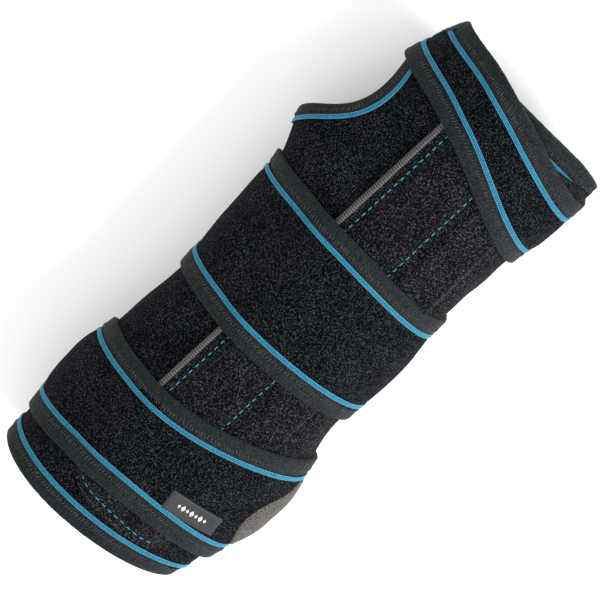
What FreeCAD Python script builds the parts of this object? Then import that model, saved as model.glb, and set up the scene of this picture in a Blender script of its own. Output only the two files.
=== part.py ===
import FreeCAD, Part
import math
import os

import Sketcher

# Wrist splint: a black fabric tube for the forearm, wrist and palm, stiffened by removable
# metal stays and held shut by three wide hook-and-loop straps.
# Frame: +X to the hand end, +Y to the thumb (radial) side, +Z up through the back of the
# hand. The palm side lies on the floor, z = 0. Lengths in millimetres, angles in degrees.

doc = FreeCAD.newDocument("wrist_splint")
V = FreeCAD.Vector

# ---------------------------------------------------------------- driving dimensions
DIMENSIONS = {
    # oval cross-section of the tube
    "depth_mid": 29.85,            # half depth of the oval at x = 0
    "depth_taper": 0.032,          # loss of half depth per mm towards the hand
    "floor_pocket": 4.0,           # height of the tube's underside above the floor
    "wrap_thick": 3.6,
    "origin_x": -4.94,             # puts the middle of the whole splint on x = 0, y = 0
    "origin_y": -2.7,
    # how far each layer stands outside the wrap: at the sides, and on top
    "binding_side": 0.7,
    "binding_top": 0.7,
    "pocket_side": 1.0,
    "pocket_top": 6.2,
    "tape_side": 1.2,
    "tape_top": 6.5,
    "hook_side": 1.0,
    "hook_top": 4.0,
    "strap_in_side": 1.6,
    "strap_in_top": 6.9,
    "strap_out_side": 2.9,
    "strap_out_top": 8.2,
    "trim_side": 3.3,
    "trim_top": 8.6,
    "thread_side": 3.2,
    "thread_top": 8.5,
    "label_side": 3.6,
    "label_top": 8.9,
    # rims of the tube, at the radial side, in the middle and at the ulnar side
    "forearm_rim_radial": -122.0,
    "forearm_rim_mid": -120.5,
    "forearm_rim_ulnar": -110.5,
    "hand_rim_radial": 133.5,
    "hand_rim_mid": 129.5,
    "hand_rim_ulnar": 133.5,
    "hand_rim_lean": 0.3,          # the hand rim falls back by this much per mm of height
    "hand_rim_level": 55.0,        # height at which the rim passes the places above
    "rim_binding": 7.4,
    "past_hand": 290.0,            # from the forearm rim to beyond the hand rim
    "past_forearm": 310.0,         # from the hand rim to beyond the forearm rim
    # both edges of each strap, at the same three places
    "forearm_low_radial": -105.5,
    "forearm_low_mid": -98.0,
    "forearm_low_ulnar": -95.5,
    "forearm_high_radial": -55.0,
    "forearm_high_mid": -51.5,
    "forearm_high_ulnar": -38.0,
    "wrist_low_radial": -20.5,
    "wrist_low_mid": -19.3,
    "wrist_low_ulnar": -16.5,
    "wrist_high_radial": 41.3,
    "wrist_high_mid": 43.4,
    "wrist_high_ulnar": 38.8,
    "hand_low_radial": 103.5,
    "hand_low_mid": 97.3,
    "hand_low_ulnar": 74.0,
    "hand_high_radial": 130.5,
    "hand_high_mid": 129.8,
    "hand_high_ulnar": 110.5,
    "edge_binding": 7.6,
    "thread_row": 1.6,
    # straps round the tube, in half depths below the middle
    "root_drop": 0.21,
    "tab_drop": 0.80,
    "hook_from": 0.46,
    "hook_to": 0.72,
    "fold_gap": 0.5,               # half the gap at the ulnar fold of a strap
    # closure slit on the ulnar side
    "slit_drop": 0.40,
    "slit_gap": 2.0,
    "slit_binding": 6.0,
    "landing_side": 0.6,
    "landing_top": 2.4,
    "landing_drop": 0.86,
    # stay pocket on the back of the hand
    "pocket_inset_forearm": 14.5,
    "pocket_inset_hand": 12.0,
    "pocket_edge_forearm": 15.4,
    "pocket_edge_hand": 9.0,
    "tape_width": 2.7,
    # stays: flat bars, and the clearance of their channels
    "stay_width": 16.0,
    "stay_thick": 1.5,
    "stay_clear": 0.3,
    "stay_corner": 7.2,
    "stay_from": -98.0,
    "stay_length": 198.0,
    "channel_length": 240.0,
    # palm pocket and its stay
    "palm_from": -92.0,
    "palm_length": 154.0,
    "palm_width": 34.0,
    "palm_stay_from": -84.0,
    "palm_stay_length": 138.0,
    "palm_stay_z": 1.2,
    "palm_height": 12.0,           # cut down to the underside of the tube
    # thumb opening
    "thumb_x": 82.0,
    "thumb_drop": 3.0,             # centre of the opening below the middle of the tube
    "thumb_half_length": 24.0,
    "thumb_half_height": 17.0,
    "thumb_binding": 6.0,
    # label on the forearm strap
    "label_x": -81.5,
    "label_y": -30.0,
    "label_long": 20.0,
    "label_wide": 8.5,
    "label_turn": -84.0,
    "hook_edge_drop": -0.44,       # top of the hook tape along the forearm strap's fold
}

# cross-sections of the tube: name, x, y of the middle, half width
STATIONS = [
    ("rim_forearm", -130.0, 2.4, 41.0),
    ("forearm_end", -98.0, 0.8, 45.4),
    ("forearm_full", -72.0, -0.4, 48.2),
    ("forearm_low", -50.0, -1.4, 47.2),
    ("wrist_start", -24.0, -0.2, 43.8),
    ("wrist_end", 10.0, 0.6, 44.4),
    ("palm_start", 40.0, 3.2, 45.0),
    ("thumb_base", 58.0, 6.6, 50.0),
    ("thumb_web", 76.0, 3.0, 47.2),
    ("knuckle_low", 100.0, -2.0, 44.6),
    ("knuckle_end", 138.0, -1.4, 39.0),
]

# stays on the back: y at x = 0, y slope, z at x = 0, z slope, roll about the bar's line
STAYS = {
    "radial": (-3.5, -0.02, 65.5, -0.0654, 6.6),
    "ulnar": (-26.0, -0.02, 59.5, -0.0716, 33.0),
}

sheet = doc.addObject("Spreadsheet::Sheet", "Dims")
cells = list(DIMENSIONS.items())
for station, x, middle, half in STATIONS:
    cells += [(station + "_x", x), (station + "_middle", middle), (station + "_half", half)]
for side, (y0, y_slope, z0, z_slope, roll) in STAYS.items():
    cells += [(side + "_y", y0), (side + "_y_slope", y_slope), (side + "_z", z0),
              (side + "_z_slope", z_slope), (side + "_roll", roll)]
for row, (alias, value) in enumerate(cells, 1):
    sheet.set("A%d" % row, alias.replace("_", " "))
    sheet.set("B%d" % row, str(value))
    sheet.setAlias("B%d" % row, alias)
doc.recompute()

# section plane: local x along -Y, y along -Z, normal along X; an oval starts in the fold
ACROSS = FreeCAD.Rotation(V(1, 0, 0), 180).multiply(FreeCAD.Rotation(V(1, 1, 1), 120))
EDGE = 50.0        # y of the radial and ulnar ends of an edge that crosses the tube
REACH = 90.0       # half width of every cutting solid
SPAN = 400.0       # length of every cutting solid along the tube
FLOOR = -30.0      # base of every upright cutting solid
TALL = 150.0       # height of every cutting solid
LEAD = 50.0        # how far a cutting solid starts before the forearm rim
ULNAR, RADIAL = -1, 1


def dim(alias):
    return float(sheet.get(alias))


def bind(thing, **expressions):
    for prop, expression in expressions.items():
        thing.setExpression(prop.replace("__", "."), expression)


def boolean(kind, name, first, second):
    result = doc.addObject("Part::" + kind, name)
    result.Base = first
    result.Tool = second
    return result


def both(name, first, second):
    return boolean("Common", name, first, second)


# ---------------------------------------------------------------- solids to cut with
def tube(name, side, top):
    """Loft of the oval sections, standing `side` and `top` outside the wrap."""
    sections = []
    for station, x, middle, half in STATIONS:
        oval = doc.addObject("Part::Ellipse", "%s_%s" % (name, station))
        oval.Placement = FreeCAD.Placement(V(x, middle, 0), ACROSS)
        depth = "(Dims.depth_mid - Dims.depth_taper * Dims.%s_x)" % station
        bind(oval, MajorRadius="Dims.%s_half + %s" % (station, side),
             MinorRadius="%s + %s" % (depth, top),
             Placement__Base__x="Dims.%s_x" % station,
             Placement__Base__y="Dims.%s_middle" % station,
             Placement__Base__z="%s + Dims.floor_pocket" % depth)
        sections.append(oval)
    loft = doc.addObject("Part::Loft", name)
    loft.Sections = sections
    loft.Solid = True
    loft.Ruled = True
    return loft


def shell(name, inner, outer, area):
    """Piece of the fabric between two tubes that lies in `area`."""
    return boolean("Cut", name, boolean("Common", name + "_core", tubes[outer], area),
                   tubes[inner])


def edge_terms(line, offset):
    """Positions of an edge in plan: value and formula at its three driving points."""
    shift = sum(factor * dim(alias) for factor, alias in offset)
    words = "".join(" + %g * Dims.%s" % (factor, alias) for factor, alias in offset)
    return [(dim("%s_%s" % (line, place)) + shift, "Dims.%s_%s%s" % (line, place, words), y)
            for place, y in (("radial", EDGE), ("mid", 0.0), ("ulnar", -EDGE))]


def draw_edge(sketch, terms):
    """Arc through an edge's three points; returns its index and its radial and ulnar ends."""
    points = [V(x, y, 0) for x, formula, y in terms]
    arc = sketch.addGeometry(Part.Arc(*points), False)
    dot = sketch.addGeometry(Part.Point(points[1]), True)
    radial, ulnar = (1, 2) if sketch.getPoint(arc, 1).y > 0 else (2, 1)
    sketch.addConstraint(Sketcher.Constraint("PointOnObject", dot, 1, arc))
    for item, end, (x, formula, y) in zip((arc, dot, arc), (radial, 1, ulnar), terms):
        place = Sketcher.Constraint("DistanceX", -1, 1, item, end, x)
        sketch.setExpression("Constraints[%d]" % sketch.addConstraint(place), formula)
        if y:
            sketch.addConstraint(Sketcher.Constraint("DistanceY", -1, 1, item, end, y))
        else:
            sketch.addConstraint(Sketcher.Constraint("PointOnObject", item, end, -1))
    return arc, radial, ulnar


def strip(name, low_line, low_offset, high_line, high_offset, leaning=False):
    """Prism over the plan area between two edges that cross the tube.

    It stands upright, or leans back at the slope of the hand rim."""
    sketch = doc.addObject("Sketcher::SketchObject", name + "_plan")
    sketch.Placement.Base = V(0, 0, FLOOR)
    if leaning:
        bind(sketch, Placement__Base__x="-Dims.hand_rim_lean * (Dims.hand_rim_level + %g)"
                                        % -FLOOR)
    low, low_radial, low_ulnar = draw_edge(sketch, edge_terms(low_line, low_offset))
    high, high_radial, high_ulnar = draw_edge(sketch, edge_terms(high_line, high_offset))
    for y, low_end, high_end in ((REACH, low_radial, high_radial),
                                 (-REACH, low_ulnar, high_ulnar)):
        near = sketch.getPoint(low, low_end)
        far = sketch.getPoint(high, high_end)
        corners = [near, V(near.x, y, 0), V(far.x, y, 0), far]
        lines = [sketch.addGeometry(Part.LineSegment(a, b), False)
                 for a, b in zip(corners, corners[1:])]
        joins = ((low, low_end, lines[0], 1), (lines[0], 2, lines[1], 1),
                 (lines[1], 2, lines[2], 1), (lines[2], 2, high, high_end))
        for join in joins:
            sketch.addConstraint(Sketcher.Constraint("Coincident", *join))
        sketch.addConstraint(Sketcher.Constraint("Vertical", lines[0]))
        sketch.addConstraint(Sketcher.Constraint("Horizontal", lines[1]))
        sketch.addConstraint(Sketcher.Constraint("Vertical", lines[2]))
        sketch.addConstraint(Sketcher.Constraint("DistanceY", -1, 1, lines[1], 1, y))
    solid = doc.addObject("Part::Extrusion", name + "_prism")
    solid.Base = sketch
    solid.DirMode = "Custom"
    lean = dim("hand_rim_lean") if leaning else 0.0
    solid.Dir = V(lean, 0, 1)
    solid.LengthFwd = TALL * solid.Dir.Length
    solid.Solid = True
    return solid


def between_rims(name, forearm_offset, hand_offset):
    """Area of the sleeve from an upright edge at the forearm to a leaning one at the hand."""
    return both(name + "_rims",
                strip(name + "_from", "forearm_rim", forearm_offset,
                      "forearm_rim", [(1, "past_hand")]),
                strip(name + "_to", "hand_rim", [(-1, "past_forearm")],
                      "hand_rim", hand_offset, leaning=True))


def level(name, side, drop, extra="0", below=False):
    """Block above (or below) a level given in half depths below the middle of the tube.

    The level follows the taper of the tube, and `extra` lifts it."""
    lowered = "(1 - %s)" % drop
    share = 1 - (dim(drop[5:]) if drop.startswith("Dims.") else float(drop))
    box = doc.addObject("Part::Box", name)
    tilt = math.degrees(math.atan(dim("depth_taper") * share))
    box.Placement = FreeCAD.Placement(V(-SPAN / 2, -REACH if side == ULNAR else 0, 0),
                                      FreeCAD.Rotation(V(0, 1, 0), tilt))
    depth = "(Dims.depth_mid + Dims.depth_taper * %g)" % (SPAN / 2)
    height = "Dims.floor_pocket + %s * %s + %s" % (depth, lowered, extra)
    sunk = TALL / math.cos(math.radians(tilt)) if below else 0.0
    bind(box, Length="%g" % SPAN, Width="%g" % REACH, Height="%g" % TALL,
         Placement__Base__z="%s - %.6f" % (height, sunk))
    return box


def oval_drum(name, grow):
    """Oval bar across the radial side, as long and tall as the thumb opening plus `grow`.

    Below the opening the tube turns under, so the bar grows only half as far there."""
    oval = doc.addObject("Part::Ellipse", name + "_oval")
    oval.Placement = FreeCAD.Placement(V(0, 0, 0), FreeCAD.Rotation(V(1, 0, 0), 90))
    bind(oval, MajorRadius="Dims.thumb_half_length + %s" % grow,
         MinorRadius="Dims.thumb_half_height + 0.75 * (%s)" % grow,
         Placement__Base__x="Dims.thumb_x",
         Placement__Base__z="Dims.floor_pocket + Dims.depth_mid - Dims.depth_taper"
                            " * Dims.thumb_x - Dims.thumb_drop + 0.25 * (%s)" % grow)
    drum = doc.addObject("Part::Extrusion", name)
    drum.Base = oval
    drum.DirMode = "Custom"
    drum.Dir = V(0, 1, 0)
    drum.LengthFwd = REACH
    drum.Solid = True
    return drum


def turned_box(name, length, width, height, centre_start, rotation):
    """Box whose local x axis starts at `centre_start`, centred across that axis."""
    box = doc.addObject("Part::Box", name)
    bind(box, Length=length[1], Width=width[1], Height=height[1])
    corner = rotation.multVec(V(0, -width[0] / 2, -height[0] / 2))
    box.Placement = FreeCAD.Placement(centre_start + corner, rotation)
    return box


parts = []


def keep(name, shape):
    """Name a finished sub-part and move it to the splint's own origin."""
    shape.Label = name
    bind(shape, Placement__Base__x="Dims.origin_x", Placement__Base__y="Dims.origin_y")
    parts.append(shape)
    return shape


# ---------------------------------------------------------------- layers of the splint
tubes = {
    "inner": tube("tube_inner", "-Dims.wrap_thick", "-Dims.wrap_thick"),
    "binding_inner": tube("tube_binding_inner", "-Dims.wrap_thick - Dims.binding_side",
                          "-Dims.wrap_thick - Dims.binding_top"),
    "wrap": tube("tube_wrap", "0", "0"),
    "row": tube("tube_row", "0.4", "0.4"),
}
for key in ("binding", "landing", "pocket", "tape", "hook", "strap_in", "strap_out",
            "thread", "trim", "label"):
    tubes[key] = tube("tube_" + key, "Dims.%s_side" % key, "Dims.%s_top" % key)

# zones round the tube
slit_up = "Dims.slit_gap / 2"
slit_low = "-Dims.slit_gap / 2"
seam_up = slit_up + " + Dims.slit_binding"
seam_low = slit_low + " - Dims.slit_binding"
slit_drop = "Dims.slit_drop"
over_seam = level("over_seam", ULNAR, slit_drop, seam_up)
dorsal_zone = boolean("Fuse", "dorsal_zone", over_seam, level("over_radial", RADIAL, "0"))
under_seam = level("under_seam", ULNAR, slit_drop, seam_low, below=True)
palmar_zone = boolean("Fuse", "palmar_zone", under_seam,
                      level("under_radial", RADIAL, "0", below=True))
slit_zone = boolean("Common", "slit_zone", level("over_slit_low", ULNAR, slit_drop, slit_low),
                    level("under_slit_up", ULNAR, slit_drop, slit_up, below=True))
seam_zone = boolean("Common", "seam_zone", level("over_seam_low", ULNAR, slit_drop, seam_low),
                    level("under_seam_up", ULNAR, slit_drop, seam_up, below=True))
span_zone = boolean("Fuse", "span_zone", level("over_fold", ULNAR, "0", "Dims.fold_gap"),
                    level("over_root", RADIAL, "Dims.root_drop"))
tab_zone = boolean("Common", "tab_zone",
                   level("under_fold", ULNAR, "0", "-Dims.fold_gap", below=True),
                   level("over_tab_end", ULNAR, "Dims.tab_drop"))
hook_zone = boolean("Common", "hook_zone",
                    level("under_hook", ULNAR, "Dims.hook_from", below=True),
                    level("over_hook", ULNAR, "Dims.hook_to"))
edge_tape_zone = boolean("Common", "edge_tape_zone",
                         level("over_tape_fold", ULNAR, "0", "Dims.fold_gap"),
                         level("under_tape", ULNAR, "Dims.hook_edge_drop", below=True))

# ---------------------------------------------------------------- stays and their channels
def stay_line(side):
    """Start point and rotation of a stay on the back of the splint."""
    x = dim("stay_from")
    y_slope, z_slope = dim(side + "_y_slope"), dim(side + "_z_slope")
    start = V(x, dim(side + "_y") + y_slope * x, dim(side + "_z") + z_slope * x)
    along = V(1, y_slope, z_slope).normalize()
    roll = FreeCAD.Rotation(V(1, 0, 0), dim(side + "_roll"))
    return start, along, FreeCAD.Rotation(V(1, 0, 0), along).multiply(roll)


def sized(alias, clear=0):
    """Value and formula of a size, with `clear` clearances of a stay added."""
    return (dim(alias) + clear * dim("stay_clear"),
            "Dims.%s + %g * Dims.stay_clear" % (alias, clear))


def stay_bar(name, length, start, rotation):
    """Flat metal bar with round ends."""
    bar = turned_box(name + "_bar", sized(length), sized("stay_width"), sized("stay_thick"),
                     start, rotation)
    rounded = doc.addObject("Part::Fillet", name)
    rounded.Base = bar
    doc.recompute()
    radius = dim("stay_corner")
    rounded.Edges = [(i, radius, radius) for i, edge in enumerate(bar.Shape.Edges, 1)
                     if abs(edge.Length - dim("stay_thick")) < 1e-6]
    keep(name, rounded)


def channel(name, length, start, rotation):
    """Room for a stay, with its clearance on every side."""
    return turned_box(name, sized(length, 2), sized("stay_width", 2), sized("stay_thick", 2),
                      start, rotation)


channels = []
for side in STAYS:
    start, along, turn = stay_line(side)
    stay_bar("dorsal_stay_" + side, "stay_length", start, turn)
    channels.append(channel("channel_" + side, "channel_length",
                            start - along * dim("stay_clear"), turn))
both_channels = boolean("Fuse", "both_channels", *channels)
flat = FreeCAD.Rotation()
palm_start = V(dim("palm_stay_from"), 0,
               dim("palm_stay_z") + dim("stay_thick") / 2 + dim("stay_clear"))
stay_bar("palmar_stay", "palm_stay_length", palm_start, flat)
palm_channel = channel("channel_palm", "palm_length",
                       palm_start - V(dim("stay_clear"), 0, 0), flat)

# ---------------------------------------------------------------- the sleeve
BIND = [(1, "rim_binding")]
UNBIND = [(-1, "rim_binding")]
PAST_ROW = BIND + [(1, "thread_row")]
BEFORE_ROW = UNBIND + [(-1, "thread_row")]
body_strip = between_rims("body", BIND, UNBIND)
thumb_hole = oval_drum("thumb_hole", "0")
thumb_rim = oval_drum("thumb_rim", "Dims.thumb_binding")
thumb_row = oval_drum("thumb_row_outer", "Dims.thumb_binding + Dims.thread_row")
thumb_ring = boolean("Cut", "thumb_ring", thumb_rim, thumb_hole)
thumb_row_ring = boolean("Cut", "thumb_row_ring", thumb_row, thumb_rim)

holed = boolean("Cut", "holed", body_strip, thumb_rim)
upper = shell("upper", "inner", "wrap", both("upper_area", holed, dorsal_zone))
keep("wrap_dorsal", boolean("Cut", "wrap_dorsal", upper, both_channels))
keep("wrap_palmar", shell("wrap_palmar", "inner", "wrap",
                          both("lower_area", holed, palmar_zone)))

rims = {
    "forearm": strip("forearm_rim", "forearm_rim", [], "forearm_rim", BIND),
    "hand": strip("hand_rim", "hand_rim", UNBIND, "hand_rim", [], leaning=True),
}
rows = {
    "forearm": strip("forearm_row", "forearm_rim", BIND, "forearm_rim", PAST_ROW),
    "hand": strip("hand_row", "hand_rim", BEFORE_ROW, "hand_rim", UNBIND, leaning=True),
}
for end in rims:
    opened = boolean("Cut", end + "_opened", rims[end], slit_zone)
    ring = shell(end + "_ring", "binding_inner", "binding", opened)
    keep(end + "_end_binding", boolean("Cut", end + "_binding", ring, both_channels))
    row_open = boolean("Cut", end + "_row_open", rows[end], seam_zone)
    row_ring = shell(end + "_row_ring", "wrap", "row", row_open)
    keep(end + "_end_stitching", boolean("Cut", end + "_row", row_ring, both_channels))

keep("thumb_binding", shell("thumb_binding", "binding_inner", "binding", thumb_ring))
keep("thumb_stitching", shell("thumb_stitching", "wrap", "row", thumb_row_ring))
for side, low, high in (("upper", slit_up, seam_up), ("lower", seam_low, slit_low)):
    band = boolean("Common", "slit_band_" + side,
                   level("over_slit_band_" + side, ULNAR, slit_drop, low),
                   level("under_slit_band_" + side, ULNAR, slit_drop, high, below=True))
    keep("closure_binding_" + side, shell("closure_" + side, "binding_inner", "binding",
                                          both("closure_area_" + side, body_strip, band)))

# ---------------------------------------------------------------- pockets
pocket_strip = between_rims("pocket", [(1, "pocket_inset_forearm")],
                            [(-1, "pocket_inset_hand")])
length = dim("hand_rim_mid") - dim("forearm_rim_mid")
edge_turn = FreeCAD.Rotation(V(0, 0, 1), math.degrees(math.atan2(
    dim("pocket_edge_hand") - dim("pocket_edge_forearm"), length)))
edge_start = V(dim("forearm_rim_mid"), dim("pocket_edge_forearm"), FLOOR)


def past_edge(name, shift, width):
    """Upright block along the pocket's radial edge, from `shift` outwards."""
    box = doc.addObject("Part::Box", name)
    bind(box, Length="%g" % SPAN, Width=width, Height="%g" % TALL)
    offset = edge_turn.multVec(V(-LEAD, shift, 0))
    box.Placement = FreeCAD.Placement(edge_start + offset, edge_turn)
    return box


pocket_upper = both("pocket_upper", pocket_strip, dorsal_zone)
pocket_area = boolean("Cut", "pocket_area", pocket_upper,
                      past_edge("past_pocket", 0.0, "%g" % REACH))
pocket_shell = shell("pocket_shell", "wrap", "pocket", pocket_area)
keep("dorsal_pocket", boolean("Cut", "dorsal_pocket", pocket_shell, both_channels))
tape_area = both("tape_area", pocket_upper,
                 past_edge("along_pocket", 0.0, "Dims.tape_width"))
keep("pocket_tape", shell("pocket_tape", "wrap", "tape", tape_area))

landing_band = both("landing_band", under_seam,
                    level("over_landing_end", ULNAR, "Dims.landing_drop"))
landing_strip = between_rims("landing", PAST_ROW, BEFORE_ROW)
keep("landing_panel", shell("landing_panel", "wrap", "landing",
                            both("landing_area", landing_strip, landing_band)))

palm_block = doc.addObject("Part::Box", "palm_block")
bind(palm_block, Length="Dims.palm_length", Width="Dims.palm_width",
     Height="Dims.palm_height", Placement__Base__x="Dims.palm_from",
     Placement__Base__y="-Dims.palm_width / 2")
palm_seat = boolean("Cut", "palm_seat", palm_block, tubes["wrap"])
keep("palm_pocket", boolean("Cut", "palm_pocket", palm_seat, palm_channel))

# ---------------------------------------------------------------- straps
for strap in ("forearm", "wrist", "hand"):
    low, high = strap + "_low", strap + "_high"
    inner = [(1, "edge_binding")]
    outer = [(-1, "edge_binding")]
    pieces = (
        ("panel", "strap_in", "strap_out", span_zone, (low, inner, high, outer)),
        ("binding_low", "strap_in", "trim", span_zone, (low, [], low, inner)),
        ("binding_high", "strap_in", "trim", span_zone, (high, outer, high, [])),
        ("stitching_low", "strap_out", "thread", span_zone,
         (low, inner, low, inner + [(1, "thread_row")])),
        ("stitching_high", "strap_out", "thread", span_zone,
         (high, outer + [(-1, "thread_row")], high, outer)),
        ("tab", "strap_in", "strap_out", tab_zone, (low, [], high, [])),
        ("hook_patch", "hook", "strap_in", hook_zone, (low, inner, high, outer)),
    )
    for piece, inside, outside, zone, edges in pieces:
        name = "%s_strap_%s" % (strap, piece)
        area = both(name + "_area", strip(name, *edges), zone)
        keep(name, shell(name, inside, outside, area))

inset = [(1, "edge_binding"), (1, "thread_row")]
outset = [(-1, "edge_binding"), (-1, "thread_row")]
edge_tape = both("edge_tape", strip("hook_edge", "forearm_low", inset, "forearm_high", outset),
                 edge_tape_zone)
keep("forearm_strap_hook_edge", shell("hook_edge", "strap_out", "trim", edge_tape))

label_turn = FreeCAD.Rotation(V(0, 0, 1), dim("label_turn"))
label_start = V(dim("label_x"), dim("label_y"), REACH) - label_turn.multVec(
    V(dim("label_long") / 2, 0, 0))
label_block = turned_box("label_block", sized("label_long"), sized("label_wide"),
                         (REACH, "%g" % REACH), label_start, label_turn)
keep("strap_label", shell("strap_label", "strap_out", "label", label_block))

# ---------------------------------------------------------------- check and write
doc.recompute()
for thing in doc.Objects:
    if "Invalid" in thing.State or "Error" in thing.State:
        raise RuntimeError("%s did not rebuild: %s" % (thing.Name, thing.State))
for part in parts:
    if part.Shape.isNull() or not part.Shape.isValid() or not part.Shape.Solids:
        raise RuntimeError("%s has no valid solid" % part.Label)
os.makedirs("parts", exist_ok=True)
whole = FreeCAD.BoundBox()
for part in parts:
    part.Shape.exportStep("parts/%s.step" % part.Label)
    whole.add(part.Shape.optimalBoundingBox())
    print(part.Label, len(part.Shape.Solids), "solids, %.1f mm3" % part.Shape.Volume)
print("whole", whole)
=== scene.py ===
import math

import bpy
import numpy as np
from mathutils import Matrix, Vector
from mathutils.bvhtree import BVHTree


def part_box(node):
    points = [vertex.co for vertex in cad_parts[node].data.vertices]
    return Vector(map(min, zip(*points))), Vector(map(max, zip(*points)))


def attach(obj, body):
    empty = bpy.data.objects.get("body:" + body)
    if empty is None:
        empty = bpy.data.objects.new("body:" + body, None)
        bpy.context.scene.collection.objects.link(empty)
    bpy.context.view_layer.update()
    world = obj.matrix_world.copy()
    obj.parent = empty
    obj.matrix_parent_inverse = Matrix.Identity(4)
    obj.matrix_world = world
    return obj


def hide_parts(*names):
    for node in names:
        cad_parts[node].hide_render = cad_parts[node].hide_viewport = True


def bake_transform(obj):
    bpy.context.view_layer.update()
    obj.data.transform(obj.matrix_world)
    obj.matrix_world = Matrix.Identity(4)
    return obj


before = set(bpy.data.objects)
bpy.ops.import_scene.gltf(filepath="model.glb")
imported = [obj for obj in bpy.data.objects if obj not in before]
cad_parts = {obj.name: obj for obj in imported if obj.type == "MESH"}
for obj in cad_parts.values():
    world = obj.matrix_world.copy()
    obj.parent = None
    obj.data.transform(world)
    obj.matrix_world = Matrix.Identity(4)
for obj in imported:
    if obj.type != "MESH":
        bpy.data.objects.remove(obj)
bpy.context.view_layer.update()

MM = 0.001
DEG = math.pi / 180
TURN = 2 * math.pi
STRAPS = ("forearm", "wrist", "hand")
rng = np.random.default_rng(7)


def smoothstep(low, high, value):
    """0 below low, 1 above high, and a soft rise between them."""
    s = np.clip((value - low) / (high - low), 0, 1)
    return s * s * (3 - 2 * s)


# -------------------- the tube, read from the frame
# The sleeve is an oval tube along X. Angle 0 is the thumb side, 90 the back of the hand,
# 180 the little-finger side and 270 (or -90) the palm side.
def below(share):
    """Angle on the little-finger side, this share of the half depth below the middle."""
    return 180 * DEG + math.asin(share)


def node_corners(node):
    """The corners of a CAD node's mesh."""
    return np.array([v.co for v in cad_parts[node].data.vertices], float)


def ray_tree(*nodes):
    """One tree for ray casts against several CAD nodes."""
    corners, faces = [], []
    for node in nodes:
        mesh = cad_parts[node].data
        base = len(corners)
        corners += [v.co.copy() for v in mesh.vertices]
        faces += [[base + i for i in p.vertices] for p in mesh.polygons]
    return BVHTree.FromPolygons(corners, faces)


def measure_tube():
    """Middle y, middle z, half width and half depth of the wrap, every few millimetres."""
    tree = ray_tree("wrap_dorsal", "wrap_palmar")
    low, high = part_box("wrap_palmar")
    rows = []
    # clear of both rims; at 0.8 of its half depth an oval is 0.6 of its width
    for x in np.linspace(low.x + 14 * MM, high.x - 30 * MM, 40):
        y = (low.y + high.y) / 2
        for _ in range(4):
            top = tree.ray_cast(Vector((x, y, 1)), Vector((0, 0, -1)))[0].z
            bottom = tree.ray_cast(Vector((x, y, -1)), Vector((0, 0, 1)))[0].z
            z, b = (top + bottom) / 2, (top - bottom) / 2
            right = tree.ray_cast(Vector((x, 1, z + 0.8 * b)), Vector((0, -1, 0)))[0].y
            left = tree.ray_cast(Vector((x, -1, z - 0.8 * b)), Vector((0, 1, 0)))[0].y
            y, a = (right + left) / 2, (right - left) / 2 / 0.6
        rows.append((x, y, z, a, b))
    return np.array(rows)


measured = measure_tube()
GRID_X = np.linspace(-150 * MM, 150 * MM, 301)


def smooth_column(column):
    """A measured value along the tube, carried on past its ends and smoothed."""
    x, value = measured[:, 0], measured[:, column]
    line = np.interp(GRID_X, x, value)
    first = (value[2] - value[0]) / (x[2] - x[0])
    last = (value[-1] - value[-3]) / (x[-1] - x[-3])
    line = np.where(GRID_X < x[0], value[0] + first * (GRID_X - x[0]), line)
    line = np.where(GRID_X > x[-1], value[-1] + last * (GRID_X - x[-1]), line)
    spread = 6.0
    reach = int(3 * spread)
    kernel = np.exp(-0.5 * (np.arange(-reach, reach + 1) / spread) ** 2)
    padded = np.pad(line, reach, mode="reflect", reflect_type="odd")
    return np.convolve(padded, kernel / kernel.sum(), mode="valid")


MID_Y, MID_Z, HALF_A, HALF_B = (smooth_column(i) for i in (1, 2, 3, 4))


def ripple(x, t):
    """Shallow unevenness that every layer of the soft tube shares, in metres.

    It swells at the thumb, narrows and swells along the little-finger side, and is hollow at
    the hand end where the stays slide out."""
    flare = 3.2 * np.exp(-((x / MM - 59.0) / 9.5) ** 2 - ((t - 0.15) / 0.5) ** 2)
    side = np.exp(-((t - math.pi) / 0.6) ** 2)
    waist = side * (1.0 * np.exp(-((x / MM + 108.0) / 9.0) ** 2)
                    - 0.8 * np.exp(-((x / MM + 35.0) / 9.0) ** 2)
                    - 0.4 * np.exp(-((x / MM - 50.0) / 12.0) ** 2))
    puff = 0.4 * np.exp(-((x / MM + 42.0) / 14.0) ** 2 - (t / 0.5) ** 2)
    stay_path = (smoothstep(-178 * DEG, -142 * DEG, -t)
                 * (0.9 * smoothstep(80 * DEG, 92 * DEG, t) * smoothstep(98 * MM, 110 * MM, x)
                    + 1.7 * smoothstep(104 * DEG, 132 * DEG, t)
                    * smoothstep(88 * MM, 103 * MM, x)))
    return MM * (flare + waist + puff - stay_path
                 + 0.28 * np.sin(x * 61 + 2.1 * np.sin(t + 0.4)) * np.sin(2 * t + 1.0)
                 + 0.20 * np.sin(x * 137 - 1.7 * t + 0.6)
                 + 0.12 * np.sin(x * 263 + 3 * t + 2.0))


def section(x):
    """Middle y, middle z, half width and half depth of the tube at x."""
    return (np.interp(x, GRID_X, column) for column in (MID_Y, MID_Z, HALF_A, HALF_B))


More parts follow.
